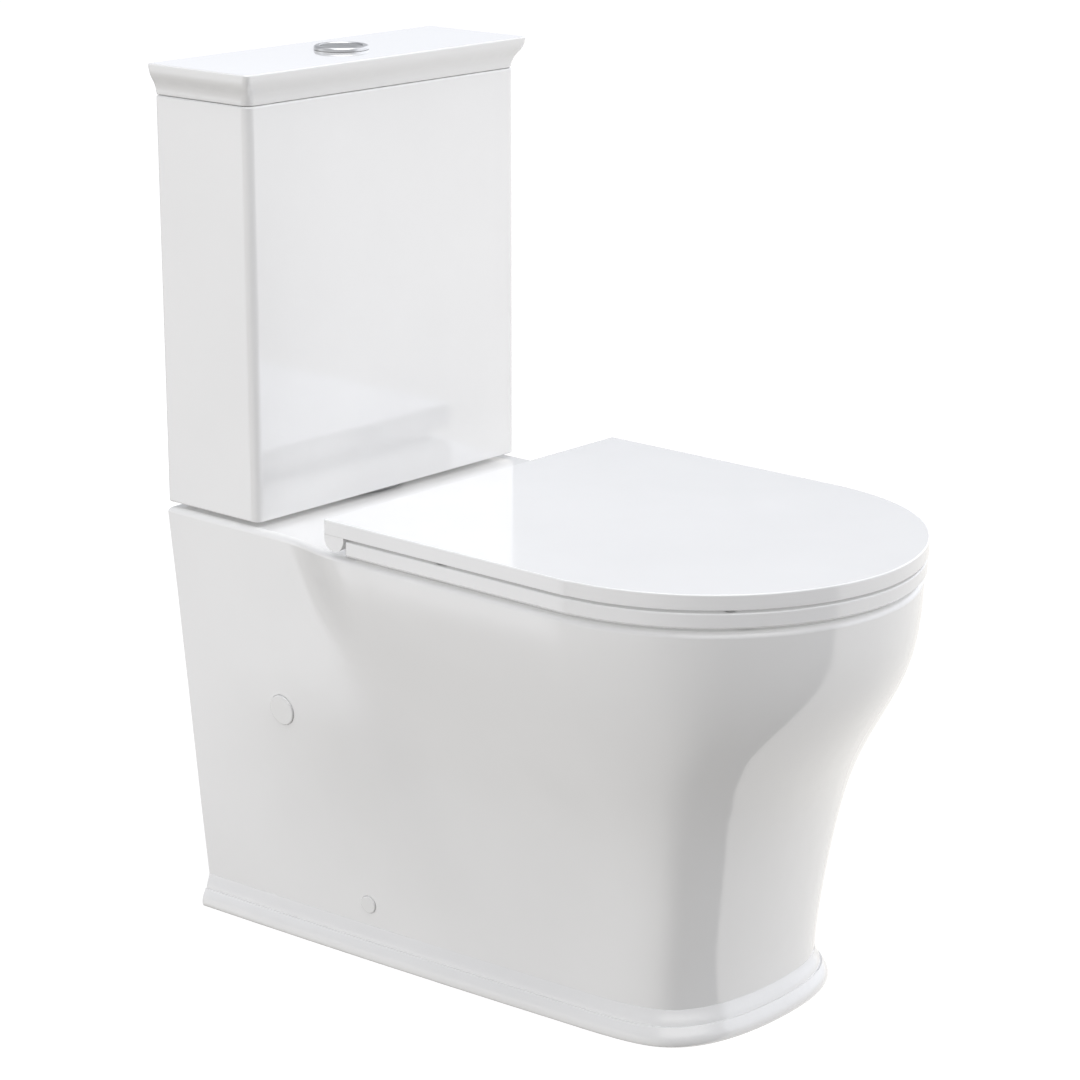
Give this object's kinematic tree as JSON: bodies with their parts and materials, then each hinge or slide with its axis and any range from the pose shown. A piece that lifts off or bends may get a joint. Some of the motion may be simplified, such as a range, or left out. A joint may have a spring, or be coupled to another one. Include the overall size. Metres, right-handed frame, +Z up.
{
  "type": "close coupled toilet",
  "caption": "Close coupled toilet: shrouded back-to-wall pan on a stepped plinth, slim cistern with ogee lid and flush button, D-shaped soft-close seat and lid.",
  "frame": {"origin": "centre of the footprint on the finished floor", "axes": "+X width, -Y towards the front of the bowl, +Y towards the wall, +Z up"},
  "size_m": [0.385, 0.6784, 0.7999],
  "materials": {
    "ceramic_white": "gloss",
    "seat_plastic": "gloss",
    "chrome_satin": "satin",
    "abs_grey": "satin",
    "abs_white": "satin",
    "pom_blue": "satin",
    "rubber_black": "matte",
    "rubber_clear": "matte",
    "zinc_steel": "satin",
    "brass_nickel": "satin",
    "foam_black": "matte"
  },
  "bodies": {
    "pan_and_cistern": {"pan": "ceramic_white", "pan_bowl": "ceramic_white", "cistern_tank": "ceramic_white", "flush_valve_base": "abs_grey", "flush_valve_washer": "rubber_black", "flush_tower": "pom_blue", "flush_valve_backnut": "abs_grey", "coupling_gasket": "foam_black", "fill_valve_body": "abs_white", "fill_valve_cap": "pom_blue", "inlet_washer": "rubber_black", "inlet_backnut": "abs_white", "tank_bolts": "brass_nickel", "tank_bolt_washers": "rubber_black", "tank_bolt_plates": "zinc_steel", "wing_nuts": "brass_nickel", "hinge_post_left": "chrome_satin", "hinge_post_right": "chrome_satin", "hinge_pin_left": "zinc_steel", "hinge_pin_right": "zinc_steel", "seat_bolts": "zinc_steel", "seat_bolt_washers": "rubber_black", "seat_bolt_nuts": "abs_white", "cap_upper_left": "abs_white", "cap_upper_right": "abs_white", "cap_lower_left": "abs_white", "cap_lower_right": "abs_white", "floor_bracket_left": "zinc_steel", "floor_bracket_right": "zinc_steel", "side_screw_left": "zinc_steel", "side_screw_right": "zinc_steel"},
    "cistern_lid": {"cistern_lid": "ceramic_white", "button_bezel": "chrome_satin", "button_nut": "abs_grey"},
    "full_button": {"full_flush_button": "chrome_satin", "full_push_rod": "abs_white"},
    "half_button": {"half_flush_button": "chrome_satin", "half_push_rod": "abs_white"},
    "flush_riser": {"overflow_riser": "abs_white", "flush_seal": "rubber_clear"},
    "half_float": {"half_flush_float": "abs_white"},
    "fill_float": {"float_cup": "abs_grey"},
    "fill_lever": {"float_lever": "abs_grey"},
    "seat_ring": {"seat_ring": "seat_plastic", "ring_buffers": "rubber_clear"},
    "seat_lid": {"seat_lid": "seat_plastic", "lid_buffers": "rubber_clear", "soft_close_damper_left": "abs_grey", "soft_close_damper_right": "abs_grey"}
  },
  "joints": [
    {"name": "cistern_lid_lift", "type": "slide", "parent": "pan_and_cistern", "child": "cistern_lid", "axis": [0, 0, 1], "range_m": [0, 0.13]},
    {"name": "full_flush_press", "type": "slide", "parent": "cistern_lid", "child": "full_button", "axis": [0, 0, -1], "range_m": [0, 0.005], "stiffness_N_per_m": 400, "springref_m": -0.004},
    {"name": "half_flush_press", "type": "slide", "parent": "cistern_lid", "child": "half_button", "axis": [0, 0, -1], "range_m": [0, 0.005], "stiffness_N_per_m": 400, "springref_m": -0.004},
    {"name": "flush_riser_lift", "type": "slide", "parent": "pan_and_cistern", "child": "flush_riser", "axis": [0, 0, 1], "range_m": [0, 0.0151]},
    {"name": "half_float_lift", "type": "slide", "parent": "pan_and_cistern", "child": "half_float", "axis": [0, 0, 1], "range_m": [0, 0.0101]},
    {"name": "fill_float_drop", "type": "slide", "parent": "pan_and_cistern", "child": "fill_float", "axis": [0, 0, -1], "range_m": [0, 0.006], "stiffness_N_per_m": 200, "springref_m": -0.006},
    {"name": "fill_lever_turn", "type": "hinge", "parent": "pan_and_cistern", "child": "fill_lever", "pos_m": [0.09, 0.28125, 0.6435], "axis": [0, 1, 0], "range_deg": [-1, 46]},
    {"name": "seat_ring_hinge", "type": "hinge", "parent": "pan_and_cistern", "child": "seat_ring", "pos_m": [0, 0.10625, 0.4095], "axis": [-1, 0, 0], "range_deg": [0, 95]},
    {"name": "seat_lid_hinge", "type": "hinge", "parent": "seat_ring", "child": "seat_lid", "pos_m": [0, 0.10625, 0.4095], "axis": [1, 0, 0], "range_deg": [-100, 0]}
  ],
  "couplings": [
    {"joint": "flush_riser_lift", "follows": "full_flush_press", "ratio": 3},
    {"joint": "half_float_lift", "follows": "half_flush_press", "ratio": 2},
    {"joint": "fill_lever_turn", "follows": "fill_float_drop", "rad_per_m": 125}
  ]
}
